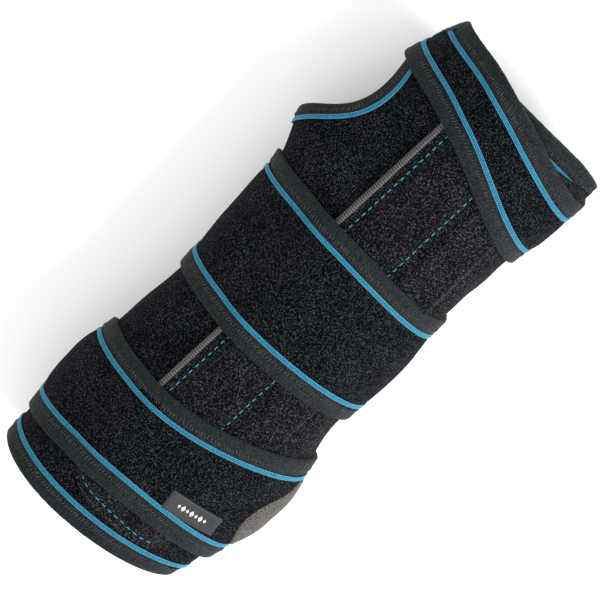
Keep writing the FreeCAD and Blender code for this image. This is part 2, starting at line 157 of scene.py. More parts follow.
def oval(x, t, lift=0.0):
    """Points and outward normals on the tube at x and angle t (radians), moved out by lift."""
    cy, cz, a, b = section(x)
    cos, sin = np.cos(t), np.sin(t)
    step = 2 * MM
    slope_y = (np.interp(x + step, GRID_X, MID_Y) - np.interp(x - step, GRID_X, MID_Y)
               + cos * (np.interp(x + step, GRID_X, HALF_A)
                        - np.interp(x - step, GRID_X, HALF_A))) / (2 * step)
    slope_z = (np.interp(x + step, GRID_X, MID_Z) - np.interp(x - step, GRID_X, MID_Z)
               + sin * (np.interp(x + step, GRID_X, HALF_B)
                        - np.interp(x - step, GRID_X, HALF_B))) / (2 * step)
    point = np.stack([x + 0 * t, cy + a * cos, cz + b * sin], -1)
    along = np.stack([np.ones_like(cos), slope_y, slope_z], -1)
    round_ = np.stack([0 * cos, -a * sin, b * cos], -1)
    normal = np.cross(round_, along)
    normal /= np.linalg.norm(normal, axis=-1, keepdims=True)
    return point + normal * (lift + ripple(x, t))[..., None], normal


# -------------------- edges, read from the frame
SLIT = below(0.40)  # the closure slit
SLIT_HALF = 1.3 * DEG


def angle_of(points):
    """Angle round the tube of each point."""
    cy, cz, a, b = section(points[:, 0])
    return np.arctan2((points[:, 2] - cz) / b, (points[:, 1] - cy) / a)


def edge_samples(nodes):
    """Points along every mesh edge of the CAD nodes."""
    found = []
    for node in nodes:
        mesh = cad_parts[node].data
        corners = np.array([v.co for v in mesh.vertices], float)
        ends = np.array([e.vertices for e in mesh.edges])
        share = np.linspace(0, 1, 12)[:, None, None]
        found.append((corners[ends[:, 0]] * (1 - share)
                      + corners[ends[:, 1]] * share).reshape(-1, 3))
    return np.concatenate(found)


def band_edge(nodes, high, first, last):
    """x of a band's low or high edge as a smooth function of angle between two angles."""
    points = edge_samples(nodes)
    t = angle_of(points)
    t = np.where(t < first - SLIT_HALF, t + TURN, t)
    half_step = 1 * DEG
    places, values = [], []
    for centre in np.arange(first, last + half_step, 2 * half_step):
        near = np.abs(t - centre) < half_step
        if near.any():
            places.append(centre)
            values.append(points[near, 0].max() if high else points[near, 0].min())
    places, values = np.array(places), np.array(values)
    fine = np.linspace(first, last, 400)
    line = np.interp(fine, places, values)
    reach = 12
    kernel = np.hanning(2 * reach + 1)
    line = np.convolve(np.pad(line, reach, mode="edge"), kernel / kernel.sum(), mode="valid")
    return lambda angle: np.interp(angle, fine, line)


# -------------------- meshes
def new_piece(name, points, faces, material, smooth=True):
    """A mesh object in the scene."""
    mesh = bpy.data.meshes.new(name)
    mesh.from_pydata([tuple(p) for p in points], [], [tuple(f) for f in faces])
    if smooth:
        mesh.shade_smooth()
    mesh.materials.append(material)
    piece = bpy.data.objects.new(name, mesh)
    bpy.context.scene.collection.objects.link(piece)
    return piece


class Patchwork:
    """Collects several grids into one mesh."""

    def __init__(self):
        self.points = []
        self.faces = []
        self.count = 0

    def grid(self, grid, wrap_u=False, wrap_v=False, caps=False, flip=False, skip=None):
        """Quads over a grid of points [u, v, 3]."""
        n_u, n_v = grid.shape[:2]
        base = self.count
        self.points.append(grid.reshape(-1, 3))
        self.count += n_u * n_v
        index = base + np.arange(n_u * n_v).reshape(n_u, n_v)
        u0 = index if wrap_u else index[:-1]
        u1 = np.roll(index, -1, 0) if wrap_u else index[1:]
        if wrap_v:
            a, b, c, d = u0, u1, np.roll(u1, -1, 1), np.roll(u0, -1, 1)
        else:
            a, b, c, d = u0[:, :-1], u1[:, :-1], u1[:, 1:], u0[:, 1:]
        quads = np.stack([a, b, c, d], -1)
        if flip:
            quads = quads[..., ::-1]
        if skip is not None:
            quads = quads[~skip]
        self.faces += quads.reshape(-1, 4).tolist()
        if caps:
            first, last = index[0].tolist(), index[-1].tolist()
            self.faces.append(first if flip else first[::-1])
            self.faces.append(last[::-1] if flip else last)
        return index

    def skirt(self, first, second, flip=False):
        """Quads between two rows of point numbers."""
        quads = np.stack([first[:-1], first[1:], second[1:], second[:-1]], -1)
        if flip:
            quads = quads[:, ::-1]
        self.faces += quads.tolist()

    def close(self, top, bottom, flip=False):
        """Join two skins round their four edges."""
        self.skirt(top[0], bottom[0], flip)
        self.skirt(top[-1], bottom[-1], not flip)
        self.skirt(top[:, 0], bottom[:, 0], not flip)
        self.skirt(top[:, -1], bottom[:, -1], flip)

    def piece(self, name, material):
        return new_piece(name, np.concatenate(self.points), self.faces, material)


def slab(outer, inner, flip=False, skip=None):
    """Two skins of points over the same grid, joined round their edges."""
    work = Patchwork()
    top = work.grid(outer, flip=not flip, skip=skip)
    bottom = work.grid(inner, flip=flip, skip=skip)
    work.close(top, bottom, flip)
    return work


def across_of(path, normal):
    """Directions across a path, to its left seen from outside."""
    tangent = np.gradient(path, axis=0)
    tangent /= np.linalg.norm(tangent, axis=1, keepdims=True)
    across = np.cross(normal, tangent)
    return across / np.linalg.norm(across, axis=1, keepdims=True)


def ribbon(work, path, normal, profile, across_sign=1.0):
    """Sweep a closed profile of (across, up) offsets, shared or one for each path point."""
    across = across_of(path, normal) * across_sign
    profile = np.asarray(profile, float)
    if profile.ndim == 2:
        profile = np.broadcast_to(profile, (len(path),) + profile.shape)
    grid = (path[:, None] + across[:, None] * profile[..., :1]
            + normal[:, None] * profile[..., 1:])
    work.grid(grid, wrap_v=True, caps=True, flip=across_sign > 0)


def thread(work, path, normal, radius, sides=6):
    """Round thread along a path."""
    turn = np.arange(sides) * TURN / sides
    profile = np.stack([np.cos(turn) * radius, np.sin(turn) * radius], -1)
    ribbon(work, path, normal, profile)


def resample(path, normal, step):
    """The same path with evenly spaced points, and how far along it each one is."""
    length = np.concatenate([[0], np.cumsum(np.linalg.norm(np.diff(path, axis=0), axis=1))])
    count = max(4, int(length[-1] / step))
    at = np.linspace(0, length[-1], count)
    path = np.stack([np.interp(at, length, path[:, i]) for i in range(3)], -1)
    normal = np.stack([np.interp(at, length, normal[:, i]) for i in range(3)], -1)
    return path, normal / np.linalg.norm(normal, axis=1, keepdims=True), at


ROW = 1.9 * MM  # width of a row of cover stitching
PITCH = 0.95 * MM  # length of one of its zigzags


def cover_stitch(name, path, normal, sign=1.0):
    """Cover stitching: two needle threads with a looper thread that zigzags between them.

    They lie on a low darker backing, on one side of the path."""
    work = Patchwork()
    path, normal, at = resample(path, normal, PITCH / 4)
    across = across_of(path, normal) * sign
    middle = path + across * ROW / 2
    bed = [(-0.5, -0.2), (-0.5, 0.08), (-0.3, 0.16), (0.0, 0.18), (0.3, 0.16), (0.5, 0.08),
           (0.5, -0.2)]
    ribbon(work, middle[::3], normal[::3],
           [(side * ROW * 0.96, rise * MM) for side, rise in bed])
    backing = len(work.faces)
    swing = np.array([0.0, 1.0, 0.0, -1.0])[np.arange(len(at)) % 4]
    rise = np.array([0.34, 0.22, 0.34, 0.22])[np.arange(len(at)) % 4]
    looper = middle + across * (swing * ROW * 0.34)[:, None] + normal * (rise * MM)[:, None]
    thread(work, looper, normal, 0.16 * MM, sides=5)
    for edge in (-0.43, 0.43):
        bob = 0.24 + 0.09 * np.cos(at / PITCH * 2 * math.pi + (edge > 0) * math.pi)
        needle = middle + across * edge * ROW + normal * (bob * MM)[:, None]
        thread(work, needle, normal, 0.19 * MM, sides=5)
    piece = work.piece(name, TURQUOISE)
    piece.data.materials.append(TURQUOISE_BED)
    piece.data.polygons.foreach_set(
        "material_index", (np.arange(len(piece.data.polygons)) < backing).astype(np.int32))
    return piece


# -------------------- materials
def set_sockets(tree, node, sockets):
    """Give a node's inputs these values, or link them to these outputs."""
    for key, value in sockets.items():
        if isinstance(value, bpy.types.NodeSocket):
            tree.links.new(value, node.inputs[key])
        else:
            node.inputs[key].default_value = value


def shader(name, colours, rough, noise_scale, bump=0.3, bump_distance=0.2 * MM, sheen=0.0,
           sheen_rough=0.5, specular=0.3, metallic=0.0, detail=3.0, contrast=(0.35, 0.65),
           stretch=(1, 1, 1), ribs=0.0):
    """Fabric-like material: two colours mixed by fine noise, with bump from the same noise.

    ribs is the spacing of darker bands along X."""
    material = bpy.data.materials.new(name)
    material.use_nodes = True
    tree = material.node_tree

    def node(kind, sockets, **settings):
        made = tree.nodes.new("ShaderNode" + kind)
        for setting, value in settings.items():
            setattr(made, setting, value)
        set_sockets(tree, made, sockets)
        return made

    place = node("TexCoord", {}).outputs["Object"]
    stretched = node("Mapping", {"Vector": place, "Scale": stretch}).outputs["Vector"]
    fine = node("TexNoise", {"Vector": stretched, "Scale": noise_scale, "Detail": detail,
                             "Roughness": 0.62}).outputs["Fac"]
    broad = node("TexNoise", {"Vector": place, "Scale": 70.0, "Detail": 2.0}).outputs["Fac"]
    broad_share = 0.08
    level = node("Math", {0: fine, 1: 1.0, 2: -broad_share / 2},
                 operation="MULTIPLY_ADD").outputs[0]
    level = node("Math", {0: broad, 1: broad_share, 2: level},
                 operation="MULTIPLY_ADD").outputs[0]
    ramp = node("ValToRGB", {"Fac": level})
    for stop, position, mixed in zip(ramp.color_ramp.elements, contrast, colours):
        stop.position = position
        stop.color = (*mixed, 1)
    colour = ramp.outputs["Color"]
    if ribs:
        wave = node("TexWave", {"Vector": place, "Scale": TURN / 20 / ribs})
        shade = node("Mix", {0: 0.85, 6: colour, 7: wave.outputs["Color"]},
                     data_type="RGBA", blend_type="MULTIPLY")
        colour = shade.outputs[2]
    relief = node("Bump", {"Strength": bump, "Distance": bump_distance, "Height": fine})
    set_sockets(tree, tree.nodes["Principled BSDF"], {
        "Base Color": colour, "Normal": relief.outputs["Normal"], "Roughness": rough,
        "Metallic": metallic, "Specular IOR Level": specular, "Sheen Weight": sheen,
        "Sheen Roughness": sheen_rough})
    return material


FLEECE = shader("fleece", ((0.0003, 0.0008, 0.0020), (0.041, 0.044, 0.048)), 0.95, 1500,
                bump=1.0, bump_distance=0.6 * MM, sheen=0.02, sheen_rough=0.4, specular=0.03,
                detail=2, contrast=(0.50, 0.73))
LINING = shader("lining", ((0.010, 0.011, 0.013), (0.026, 0.028, 0.032)), 0.9, 1500,
                bump=0.4, sheen=0.2, specular=0.1)
BINDING = shader("binding", ((0.0010, 0.0022, 0.0030), (0.021, 0.025, 0.026)), 0.8, 1500,
                 bump=0.7, bump_distance=0.35 * MM, sheen=0.04, specular=0.1,
                 contrast=(0.38, 0.72))
TURQUOISE = shader("turquoise_thread", ((0.006, 0.130, 0.215), (0.030, 0.285, 0.430)), 0.5,
                   1800, bump=0.3, sheen=0.1, specular=0.35)
TURQUOISE_BED = shader("turquoise_underlay", ((0.002, 0.055, 0.095), (0.006, 0.120, 0.190)),
                       0.8, 2200, bump=0.3, specular=0.15)
LOOP = shader("loop_pile", ((0.0004, 0.0008, 0.0018), (0.062, 0.065, 0.067)), 0.95, 1400,
              bump=1.0, bump_distance=0.7 * MM, sheen=0.02, specular=0.05, detail=2,
              contrast=(0.50, 0.76))
GROSGRAIN = shader("grosgrain", ((0.060, 0.060, 0.063), (0.150, 0.148, 0.150)), 0.6, 2500,
                   bump=0.2, sheen=0.05, specular=0.2, ribs=1.15 * MM)
# hook tape: a dark tape whose lighter warm brown-grey is painted warm light, the grazing light
# that turns the forearm strap's fold brown-grey
HOOK_TAPE_AND_WARM_LIGHT = shader("hook_tape", ((0.010, 0.009, 0.008), (0.110, 0.099, 0.090)), 0.7, 1500,
              bump=0.9, bump_distance=0.4 * MM, specular=0.2)
LABEL = shader("label_satin", ((0.007, 0.008, 0.009), (0.012, 0.013, 0.014)), 0.55, 2600,
               bump=0.15, sheen=0.05, specular=0.3)
WHITE_THREAD = shader("white_thread", ((0.42, 0.42, 0.43), (0.70, 0.70, 0.72)), 0.55, 2500,
                      bump=0.2, specular=0.4)
GREY_THREAD = shader("grey_thread", ((0.022, 0.025, 0.027), (0.085, 0.088, 0.090)), 0.6, 900,
                     bump=0.2, specular=0.3)
METAL = shader("stay_metal", ((0.55, 0.56, 0.57), (0.72, 0.73, 0.74)), 0.32, 900, bump=0.05,
               specular=0.5, metallic=1.0, stretch=(0.04, 1, 1))

for node in ("dorsal_stay_radial", "dorsal_stay_ulnar", "palmar_stay"):
    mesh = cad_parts[node].data
    mesh.materials.clear()
    mesh.materials.append(METAL)


def place_piece(piece, body, slot, *replaced):
    """A piece that rides one body, and stands for these CAD nodes."""
    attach(piece, body)
    if replaced:
        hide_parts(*replaced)


# -------------------- camera, floor and light
def set_camera():
    """Long lens over the back of the hand, leaning to the hand end and rolled to a diagonal."""
    lean, roll = 13.8 * DEG, 44.0 * DEG
    towards = Vector((math.sin(lean), 0, math.cos(lean)))
    along = Vector((math.cos(lean), 0, -math.sin(lean)))
    across = Vector((0, 1, 0))
    right = along * math.cos(roll) - across * math.sin(roll)
    up = along * math.sin(roll) + across * math.cos(roll)
    target = Vector((-1.9, -1.5, 33.9)) * MM
    distance, width = 4.0, 240 * MM
    lens = bpy.data.cameras.new("camera")
    lens.sensor_width = 36.0
    lens.lens = 36.0 * distance / width
    lens.clip_start, lens.clip_end = 0.05, 20
    camera = bpy.data.objects.new("camera", lens)
    bpy.context.scene.collection.objects.link(camera)
    turn = Matrix((right, up, towards)).transposed().to_4x4()
    camera.matrix_world = Matrix.Translation(target + towards * distance) @ turn
    bpy.context.scene.camera = camera


def plain_material(name, colour, rough):
    """A material of one even colour."""
    material = bpy.data.materials.new(name)
    material.use_nodes = True
    tree = material.node_tree
    set_sockets(tree, tree.nodes["Principled BSDF"],
                {"Base Color": (*colour, 1), "Roughness": rough})
    return material


FLOOR = -0.6 * MM  # just clear of the lowest stitches


def set_stage():
    """White floor and surround, and three soft lamps."""
    half = 3.0
    floor = new_piece("floor", [(-half, -half, FLOOR), (half, -half, FLOOR),
                                (half, half, FLOOR), (-half, half, FLOOR)], [(0, 1, 2, 3)],
                      plain_material("floor", (0.90, 0.90, 0.90), 0.9), smooth=False)
    world = bpy.data.worlds.new("soft_white")
    world.use_nodes = True
    set_sockets(world.node_tree, world.node_tree.nodes["Background"],
                {"Color": (1, 1, 1, 1), "Strength": 1.1})
    bpy.context.scene.world = world
    # name, position, size, power
    lamps = (("key", (0.25, -1.1, 0.9), 0.8, 27.0), ("fill", (-0.5, 0.9, 1.3), 1.2, 2.5),
             ("top", (0.0, 0.0, 1.9), 1.2, 4.0))
    for name, position, size, power in lamps:
        light = bpy.data.lights.new(name, "AREA")
        light.size = size
        light.energy = power
        lamp = bpy.data.objects.new(name, light)
        lamp.location = position
        lamp.rotation_euler = (Vector((0, 0, 0.03)) - Vector(position)).to_track_quat(
            "-Z", "Y").to_euler()
        bpy.context.scene.collection.objects.link(lamp)


set_camera()
set_stage()
bpy.context.scene.view_settings.view_transform = "Standard"

# -------------------- sleeve
WRAP = 3.6 * MM  # thickness of the sleeve
AROUND = (SLIT + SLIT_HALF - TURN, SLIT - SLIT_HALF)
forearm_edge = band_edge(["forearm_end_binding"], False, *AROUND)
hand_edge = band_edge(["hand_end_binding"], True, *AROUND)


def forearm_rim(t):
    """x of the rim at angle t, drawn in a little at the thumb side."""
    return forearm_edge(t) + MM * (0.3 + 1.6 * np.exp((np.cos(t) - 1) / 0.16))


def hand_rim(t):
    """x of the rim at angle t, drawn in a little at the little-finger side."""
    return hand_edge(t) - MM * (1.3 + 1.4 * np.exp((-np.cos(t) - 1) / 0.2))


hole_low, hole_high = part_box("thumb_binding")
HOLE_BINDING = 6.0 * MM
HOLE_POINTS = 200
# a band round the opening reaches half its width down and its whole width up
RISE, TALL = 0.25, 0.75
HOLE_X = (hole_low.x + hole_high.x) / 2
HOLE_Z = (hole_low.z + hole_high.z) / 2 - RISE * HOLE_BINDING
HOLE_LONG = (hole_high.x - hole_low.x) / 2 - HOLE_BINDING
HOLE_TALL = (hole_high.z - hole_low.z) / 2 - TALL * HOLE_BINDING


def in_hole(x, t, grow):
    """Below 1 inside the thumb opening, made larger by grow."""
    z = np.interp(x, GRID_X, MID_Z) + np.interp(x, GRID_X, HALF_B) * np.sin(t)
    inside = (((x - HOLE_X) / (HOLE_LONG + grow)) ** 2
              + ((z - HOLE_Z - RISE * grow) / (HOLE_TALL + TALL * grow)) ** 2)
    return np.where(np.cos(t) > 0, inside, 9.0)


def make_sleeve():
    """The sleeve from one side of the closure slit round to the other, lined inside."""
    n_t, n_x = 240, 170
    t = np.linspace(*AROUND, n_t)[None] + np.zeros((n_x, 1))
    v = np.linspace(0, 1, n_x)[:, None]
    low = forearm_rim(t[0])[None] + 1.2 * MM
    high = hand_rim(t[0])[None] - 1.2 * MM
    x = low + (high - low) * v
    outside = in_hole(x, t, HOLE_BINDING * 0.5) > 1
    whole = outside[:-1, :-1] & outside[1:, :-1] & outside[1:, 1:] & outside[:-1, 1:]
    work = slab(oval(x, t)[0], oval(x, t, -WRAP)[0], skip=~whole)
    piece = work.piece("sleeve_shell", FLEECE)
    piece.data.materials.append(LINING)
    count = len(piece.data.polygons)
    middle, facing = np.empty(count * 3), np.empty(count * 3)
    piece.data.polygons.foreach_get("center", middle)
    piece.data.polygons.foreach_get("normal", facing)
    middle, facing = middle.reshape(-1, 3), facing.reshape(-1, 3)
    axis = np.stack([middle[:, 0], np.interp(middle[:, 0], GRID_X, MID_Y),
                     np.interp(middle[:, 0], GRID_X, MID_Z)], -1)
    inward = ((middle - axis) * facing).sum(1) < 0
    piece.data.polygons.foreach_set("material_index", inward.astype(np.int32))
    place_piece(piece, "sleeve", "fleece_black", "wrap_dorsal", "wrap_palmar")


make_sleeve()


def folded_tape(width, thick, proud):
    """Profile of a tape folded over an edge: it starts at the edge and covers `width`."""
    half = thick / 2 + proud
    nose = 0.55 * half
    bend = np.linspace(90, 270, 9) * DEG
    outer = [(width, -0.3 * MM), (width, proud * 0.4), (width - 0.5 * MM, proud * 0.75),
             (width * 0.78, proud * 0.85), (width * 0.6, proud * 1.15),
             (width * 0.38, proud * 1.15)]
    turn = [(nose + nose * math.cos(a), -thick / 2 + half * math.sin(a)) for a in bend]
    inner = [(width * 0.5, -thick - proud), (width - 0.4 * MM, -thick - proud),
             (width, -thick - proud * 0.5), (width, -thick + 0.3 * MM)]
    return np.array(outer + turn + inner)


def overlock(work, path, normal, inset, sign, reach=1.0 * MM, pitch=1.45 * MM):
    """Slanted stitches that hold a tape down, `inset` from the path, no two quite alike."""
    path, normal, at = resample(path, normal, 0.2 * MM)
    across = across_of(path, normal) * sign
    stop = at[-1] - 2 * MM
    start = 1 * MM
    while start < stop:
        length, lean = rng.uniform(0.55, 1.0), rng.uniform(0.1, 0.6)
        near = start + np.linspace(0, lean, 5) * pitch
        side = inset + rng.uniform(-0.25, 0.25) * MM + np.linspace(-1, 1, 5) * reach * length
        rows = np.searchsorted(at, near)
        rise = np.array([0.0, 0.16, 0.2, 0.16, 0.0]) * MM
        line = path[rows] + across[rows] * side[:, None] + normal[rows] * rise[:, None]
        thread(work, line, normal[rows], 0.12 * MM, sides=4)
        start += pitch * rng.uniform(0.75, 1.25)


def dashes(name, path, normal, material, dash=2.0 * MM, gap=1.5 * MM, radius=0.22 * MM):
    """A row of running stitches: short threads that dive into the fabric at both ends."""
    path, normal, at = resample(path, normal, 0.25 * MM)
    work = Patchwork()
    start = 0.0
    while start + dash < at[-1]:
        rows = np.where((at >= start) & (at <= start + dash))[0]
        share = (at[rows] - start) / dash
        dip = 0.3 * MM * (2 * share - 1) ** 4
        thread(work, path[rows] - normal[rows] * dip[:, None], normal[rows], radius, sides=5)
        start += (dash + gap) * (1 + 0.06 * math.sin(start * 900))
    return work.piece(name, material)


def sew(name, path, normal, material=TURQUOISE, **size):
    """A row of running stitches on the sleeve."""
    place_piece(dashes(name, path, normal, material, **size), "sleeve", "thread_turquoise")


def wavy(profile, count, amount=0.07 * MM):
    """The same profile for each path point, with a little unevenness along the path."""
    profile = np.broadcast_to(profile, (count,) + profile.shape).copy()
    at = np.arange(count)
    swell = amount * (np.sin(at * 0.83) + 0.7 * np.sin(at * 0.31 + 1) + 0.6 * np.sin(at * 2.1))
    profile[..., 1] += swell[:, None] * np.sign(profile[..., 1] + 1 * MM) * 0.7
    profile[..., 0] += (swell * 0.6)[:, None]
    return profile


def angles(start, end, step):
    """Evenly spaced angles, about a step apart."""
    return np.linspace(start, end, int(abs(end - start) / step) + 1)


RIM_TAPE = 7.4 * MM
CLOSURE_TAPE = 6.4 * MM
PROUD = 0.45 * MM  # how far a tape on the sleeve stands off it
for end, curve, sign in (("forearm", forearm_rim, 1.0), ("hand", hand_rim, -1.0)):
    t = angles(*AROUND, 1.0 * DEG)
    path, normal = oval(curve(t), t)
    work = Patchwork()
    profile = wavy(folded_tape(RIM_TAPE, WRAP, PROUD), len(t))
    ribbon(work, path, normal, profile, across_sign=sign)
    place_piece(work.piece(end + "_rim_tape", BINDING), "sleeve", "binding_tape",
                end + "_end_binding")
    work = Patchwork()
    overlock(work, path + normal * PROUD, normal, RIM_TAPE * 0.70, sign)
    place_piece(work.piece(end + "_rim_overlock", GREY_THREAD), "sleeve", "binding_tape")
    path, normal = oval(curve(t) + sign * RIM_TAPE, t, lift=0.15 * MM)
    row = cover_stitch(end + "_rim_stitches", path, normal, sign)
    place_piece(row, "sleeve", "thread_turquoise", end + "_end_stitching")


def hole_path(grow, lift):
    """Loop round the thumb opening, `grow` outside its edge in the side view."""
    turn = np.linspace(0, TURN, HOLE_POINTS + 1)[:-1]
    x = HOLE_X + (HOLE_LONG + grow) * np.cos(turn)
    z = HOLE_Z + RISE * grow + (HOLE_TALL + TALL * grow) * np.sin(turn)
    cz, b = np.interp(x, GRID_X, MID_Z), np.interp(x, GRID_X, HALF_B)
    return oval(x, np.arcsin(np.clip((z - cz) / b, -1, 1)), lift=lift)


def closed(path, normal):
    """A loop with its first two points repeated at its end."""
    return np.concatenate([path, path[:2]]), np.concatenate([normal, normal[:2]])


def hole_growth(width):
    """Side-view growth that gives this width along the fabric, all round the opening."""
    grow = np.full(HOLE_POINTS, width)
    edge = hole_path(0.0, 0.0)[0]
    for _ in range(3):
        far = np.linalg.norm(hole_path(grow, 0.0)[0] - edge, axis=1)
        grow = grow * np.clip(width / far, 0.4, 1.6)
    return grow


reach = hole_growth(HOLE_BINDING)
profile = wavy(folded_tape(HOLE_BINDING + 0.4 * MM, WRAP, PROUD), HOLE_POINTS, 0.05 * MM)
columns = [hole_path(reach * profile[:, j, 0] / HOLE_BINDING, profile[:, j, 1])[0]
           for j in range(profile.shape[1])]
work = Patchwork()
work.grid(np.stack(columns, 1), wrap_u=True, wrap_v=True, flip=True)
place_piece(work.piece("thumb_tape", BINDING), "sleeve", "binding_tape", "thumb_binding")
path, normal = closed(*hole_path(reach, 0.15 * MM))
row = cover_stitch("thumb_stitches", path, normal)
place_piece(row, "sleeve", "thread_turquoise", "thumb_stitching")
path, normal = closed(*hole_path(reach * 0.66, PROUD))
work = Patchwork()
overlock(work, path, normal, 0.0, 1.0, reach=0.9 * MM)
place_piece(work.piece("thumb_overlock", GREY_THREAD), "sleeve", "binding_tape")

for side, angle, sign in (("upper", SLIT - SLIT_HALF, -1.0), ("lower", SLIT + SLIT_HALF, 1.0)):
    v = np.linspace(0, 1, 200)
    t = np.full(len(v), angle)
    low = forearm_rim(angle) + RIM_TAPE * 0.9
    high = hand_rim(angle) - RIM_TAPE * 0.9
    path, normal = oval(low + (high - low) * v, t)
    work = Patchwork()
    ribbon(work, path, normal, wavy(folded_tape(CLOSURE_TAPE, WRAP, PROUD), len(t)),
           across_sign=-sign)
    place_piece(work.piece("closure_tape_" + side, BINDING), "sleeve", "binding_tape",
                "closure_binding_" + side)

# -------------------- layers over the sleeve
def growth(t, side, top):
    """How far a layer stands off the sleeve when it has these heights at the side and on top."""
    return side * np.cos(t) ** 2 + top * np.sin(t) ** 2


def plan_y(x, t):
    """y of the tube at x and angle t."""
    return np.interp(x, GRID_X, MID_Y) + np.interp(x, GRID_X, HALF_A) * np.cos(t)


def back_angle(x, y):
    """Angle on the back of the splint at plan position (x, y)."""
    cy, a = np.interp(x, GRID_X, MID_Y), np.interp(x, GRID_X, HALF_A)
    return np.arccos(np.clip((y - cy) / a, -1, 1))


def node_line(node):
    """y of a long narrow node's middle as a straight line over x."""
    corners = node_corners(node)
    return np.poly1d(np.polyfit(corners[:, 0], corners[:, 1], 1))


def lift_of(points):
    """Height of points above the sleeve."""
    t = angle_of(points)
    surface, normal = oval(points[:, 0], t)
    return ((points - surface) * normal).sum(1)


def stay_cover(node, x, y):
    """Height of a stay's outer face over plan positions, falling away beside it."""
    corners = node_corners(node)
    centre = (corners.min(0) + corners.max(0)) / 2
    along, wide, thin = np.linalg.svd(corners - centre, full_matrices=False)[2]
    along = along * np.sign(along[0])
    wide, thin = wide * np.sign(wide[1]), thin * np.sign(thin[2])
    half_wide = np.abs((corners - centre) @ wide).max()
    half_thin = np.abs((corners - centre) @ thin).max()
    slope = 0.9  # of the cloth beside the stay
    offsets = np.linspace(-half_wide, half_wide, 5)
    run = np.linspace(-120 * MM, 160 * MM, 60)
    lines = [lift_of(centre + along * run[:, None] + wide * offset + thin * half_thin)
             for offset in offsets]
    at = centre[0] + along[0] * run
    aside = (y - centre[1] - along[1] / along[0] * (x - centre[0])) / wide[1]
    level = np.zeros_like(x)
    for i in range(4):
        low, high = np.interp(x, at, lines[i]), np.interp(x, at, lines[i + 1])
        share = (aside - offsets[i]) / (offsets[i + 1] - offsets[i])
        level = np.where((share >= 0) & (share <= 1), low + (high - low) * share, level)
    beyond = np.abs(aside) - half_wide
    edge = np.where(aside > 0, np.interp(x, at, lines[4]), np.interp(x, at, lines[0]))
    return np.where(beyond > 0, edge - slope * beyond, level)


tape_line = node_line("pocket_tape")
radial_stay, ulnar_stay = node_line("dorsal_stay_radial"), node_line("dorsal_stay_ulnar")
tape_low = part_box("pocket_tape")[0]
pocket_low, pocket_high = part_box("dorsal_pocket")
POCKET_END = pocket_low.x - 1.0 * MM
POCKET_MOUTH = pocket_high.x - 1.0 * MM
POCKET_SLIT = SLIT - SLIT_HALF - 7.5 * DEG
NOSE = 13.0 * MM  # length of the pocket's rounded end
CROWN = 6.0 * MM  # height of its face on the back
CLOTH = 1.7 * MM  # its thickness
OVER_STAY = 2.0 * MM  # height of its face over a stay
SEWN = 0.05 * MM  # gap between a layer and the one it is sewn to
SEAMS = (tape_line - 4.4 * MM, (radial_stay + ulnar_stay) / 2 + 0.3 * MM,
         ulnar_stay - 8.0 * MM)


def pocket_edge_y(x):
    """y of the pocket's thumb-side edge, under the ribbed tape."""
    return tape_line(x) - 1.2 * MM


def pocket_lift(x, t):
    """Height of the pocket's face: crowned over each channel, pulled down at every seam."""
    y = plan_y(x, t)
    full = growth(t, 0.9 * MM, CROWN)
    pull = 0 * y
    for seam, depth, reach in zip(SEAMS, (1.9, 1.7, 1.3), (3.2, 3.4, 3.4)):
        pull = pull + depth * MM * np.exp(-(((y - seam(x)) / (reach * MM)) ** 2))
    rim = smoothstep(-1.0 * MM, 4.0 * MM, pocket_edge_y(x) - y)
    nose = smoothstep(-1.0 * MM, NOSE, x - pocket_nose(y))
    lift = full - pull * np.clip(full / CROWN, 0.25, 1)
    lift = lift * (0.52 + 0.48 * rim) * (0.2 + 0.8 * nose)
    fluff = 0.10 * MM * np.sin(x * 410 + 3 * np.sin(y * 300)) * np.sin(y * 520)
    lift = np.maximum(lift + fluff, 0.7 * MM)
    for stay in ("dorsal_stay_radial", "dorsal_stay_ulnar"):
        lift = np.maximum(lift, (stay_cover(stay, x, y) + OVER_STAY) * nose)
    return lift


def pocket_nose(y):
    """x of the pocket's rounded forearm end at plan y."""
    middle = (pocket_edge_y(POCKET_END) + SEAMS[2](POCKET_END)) / 2
    half = (pocket_edge_y(POCKET_END) - SEAMS[2](POCKET_END)) / 2 + 1.0 * MM
    u = np.clip(np.abs(y - middle) / half, 0, 1)
    return POCKET_END + NOSE * (1 - np.sqrt(np.clip(1 - u ** 5, 0, 1)))


def pocket_grid(n_x=230, n_t=110):
    """A grid of (x, t) over the pocket, from its rounded end to its mouth."""
    u = (np.linspace(0, 1, n_x)[:, None] ** 1.05) + np.zeros((1, n_t))
    v = np.linspace(0, 1, n_t)[None] + np.zeros((n_x, 1))
    x = POCKET_END + (POCKET_MOUTH - POCKET_END) * u
    for _ in range(4):
        t = back_angle(x, pocket_edge_y(x))
        t = t + (POCKET_SLIT - t) * v
        nose = pocket_nose(plan_y(x, t))
        x = nose + (POCKET_MOUTH - nose) * u
    return x, t


x, t = pocket_grid()
lift = pocket_lift(x, t)
work = slab(oval(x, t, lift)[0], oval(x, t, np.maximum(lift - CLOTH, 0.12 * MM))[0])
pocket = work.piece("stay_pocket", LOOP)
place_piece(pocket, "sleeve", "loop_pile", "dorsal_pocket")


def back_path(x, y, raise_by):
    """A path over the pocket at plan positions, raised above its face."""
    t = back_angle(x, y)
    return oval(x, t, lift=pocket_lift(x, t) + raise_by)


